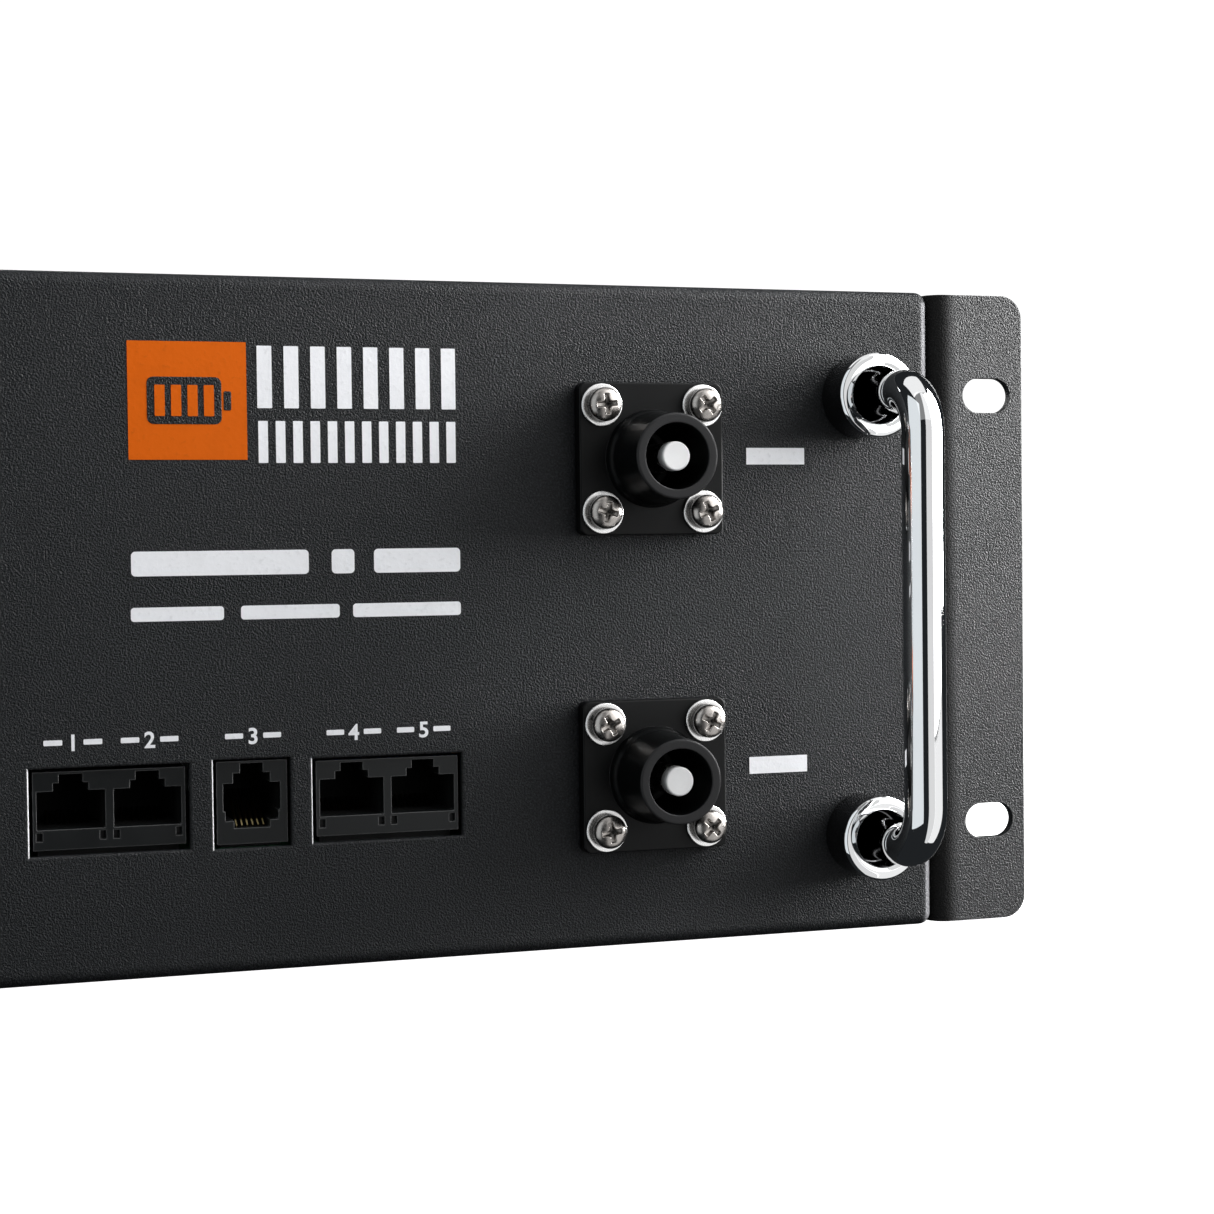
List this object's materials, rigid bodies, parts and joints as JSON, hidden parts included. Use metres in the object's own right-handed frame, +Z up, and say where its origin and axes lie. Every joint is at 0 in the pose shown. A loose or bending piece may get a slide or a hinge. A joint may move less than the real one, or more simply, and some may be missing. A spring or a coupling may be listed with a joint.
{
  "type": "server rack battery",
  "caption": "Rack-mount battery in a folded steel case, with bow handles, single-pole power sockets, data ports, a breaker and slotted rack ears.",
  "frame": {"origin": "centre of the underside of the case", "axes": "+X to the right seen from the front, -Y out of the front panel, +Z up"},
  "size_m": [0.4826, 0.4529, 0.1315],
  "materials": {
    "panel_coat": "fine wrinkle powder coat",
    "case_coat": "fine wrinkle powder coat",
    "plated_steel": "zinc plated",
    "chrome_rod": "polished chrome",
    "screw_steel": "bright nickel plated",
    "dark_screw": "black oxide",
    "black_socket": "satin black nylon",
    "orange_socket": "satin orange nylon",
    "silver_contact": "silver plated copper",
    "white_cap": "white nylon",
    "jack_plastic": "satin black",
    "gold_contact": "gold plated",
    "circuit_board": "green solder mask",
    "component_black": "moulded epoxy",
    "bare_aluminium": "mill finish",
    "ribbon_film": "amber film",
    "breaker_plastic": "light grey moulded",
    "toggle_plastic": "black moulded",
    "button_metal": "nickel plated brass",
    "button_cap": "brushed",
    "reset_plastic": "white moulded",
    "dip_plastic": "blue moulded",
    "dip_lever": "white moulded",
    "light_pipe": "frosted clear",
    "copper_bar": "bare copper",
    "cell_wrap": "blue shrink film over an aluminium can",
    "insulation_sheet": "glass-epoxy sheet",
    "end_plate": "milled"
  },
  "bodies": {
    "case": {"base_tray": "case_coat", "bms_board": "circuit_board", "bms_components": "component_black", "bms_heat_sink": "bare_aluminium", "board_standoffs": "plated_steel", "breaker_body": "breaker_plastic", "breaker_bracket": "plated_steel", "case_screws": "dark_screw", "cell_end_plates": "end_plate", "cell_links": "bare_aluminium", "cell_spacers": "insulation_sheet", "cells_front_row": "cell_wrap", "cells_rear_row": "cell_wrap", "compression_bands": "plated_steel", "dip_switch_body": "dip_plastic", "ear_screws": "dark_screw", "front_frame": "plated_steel", "front_panel": "panel_coat", "ground_stud": "screw_steel", "handle_collars": "chrome_rod", "handle_left": "chrome_rod", "handle_right": "chrome_rod", "handle_screws": "plated_steel", "insulation_sheets": "insulation_sheet", "jack_contacts": "gold_contact", "negative_feed_bar": "copper_bar", "negative_link_bar": "copper_bar", "negative_riser_bar": "copper_bar", "negative_socket_lower": "black_socket", "negative_socket_upper": "black_socket", "network_jack_pair_left": "jack_plastic", "network_jack_pair_right": "jack_plastic", "positive_feed_bar": "copper_bar", "positive_link_bar": "copper_bar", "positive_riser_bar": "copper_bar", "positive_socket_lower": "orange_socket", "positive_socket_upper": "orange_socket", "power_button_housing": "button_metal", "power_button_nut": "screw_steel", "rack_ear_left": "case_coat", "rack_ear_right": "case_coat", "reset_switch_body": "component_black", "sense_harness": "ribbon_film", "service_jack": "jack_plastic", "socket_contact_pins": "silver_contact", "socket_flat_washers": "screw_steel", "socket_nuts": "plated_steel", "socket_pin_caps": "white_cap", "socket_screws": "screw_steel", "socket_spring_washers": "screw_steel", "status_light_pipes": "light_pipe", "stud_nuts": "screw_steel", "top_cover": "case_coat"},
    "toggle": {"breaker_toggle": "toggle_plastic"},
    "power_button": {"power_button_cap": "button_cap"},
    "reset_plunger": {"reset_button": "reset_plastic"},
    "address_lever_1": {"dip_lever_1": "dip_lever"},
    "address_lever_2": {"dip_lever_2": "dip_lever"},
    "address_lever_3": {"dip_lever_3": "dip_lever"},
    "address_lever_4": {"dip_lever_4": "dip_lever"}
  },
  "joints": [
    {"name": "breaker_toggle_pivot", "type": "hinge", "parent": "case", "child": "toggle", "pos_m": [-0.095, -0.2105, 0.072], "axis": [-1, 0, 0], "range_deg": [0, 70]},
    {"name": "power_button_press", "type": "slide", "parent": "case", "child": "power_button", "axis": [0, 1, 0], "range_m": [0, 0.0025], "stiffness_N_per_m": 500},
    {"name": "reset_button_press", "type": "slide", "parent": "case", "child": "reset_plunger", "axis": [0, 1, 0], "range_m": [0, 0.0008], "stiffness_N_per_m": 500},
    {"name": "address_lever_1_slide", "type": "slide", "parent": "case", "child": "address_lever_1", "axis": [0, 0, 1], "range_m": [0, 0.0024]},
    {"name": "address_lever_2_slide", "type": "slide", "parent": "case", "child": "address_lever_2", "axis": [0, 0, 1], "range_m": [0, 0.0024]},
    {"name": "address_lever_3_slide", "type": "slide", "parent": "case", "child": "address_lever_3", "axis": [0, 0, 1], "range_m": [0, 0.0024]},
    {"name": "address_lever_4_slide", "type": "slide", "parent": "case", "child": "address_lever_4", "axis": [0, 0, 1], "range_m": [0, 0.0024]}
  ]
}
